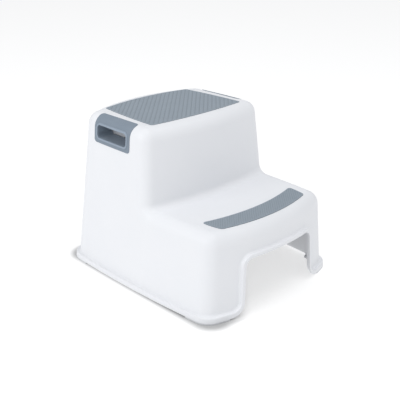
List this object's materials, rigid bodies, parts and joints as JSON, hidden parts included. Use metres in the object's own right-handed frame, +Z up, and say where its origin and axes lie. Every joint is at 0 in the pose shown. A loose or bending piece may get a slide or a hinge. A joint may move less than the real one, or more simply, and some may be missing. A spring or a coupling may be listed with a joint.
{
  "type": "two-step stool",
  "caption": "Child's step stool with a low and a high tread: open-bottomed moulded plastic shell with side handles, arched front and back, soft grip pads, handle surrounds and feet.",
  "frame": {"origin": "on the floor, under the middle of the stool's overall width and depth", "axes": "+Z up, +X to the right of someone facing the low step, the low step faces -Y"},
  "size_m": [0.283, 0.3363, 0.24],
  "materials": {
    "shell_plastic": "satin moulded polypropylene, white",
    "pad_grip": "matt soft-touch elastomer, blue-grey, fine diamond tread",
    "handle_grip": "smooth satin elastomer, blue-grey",
    "foot_grip": "matt translucent-white elastomer"
  },
  "bodies": {
    "root": {"body_shell": "shell_plastic", "top_grip_pad": "pad_grip", "step_grip_pad": "pad_grip", "left_handle_grip": "handle_grip", "right_handle_grip": "handle_grip", "foot_front_left": "foot_grip", "foot_front_right": "foot_grip", "foot_rear_left": "foot_grip", "foot_rear_right": "foot_grip"}
  },
  "joints": []
}
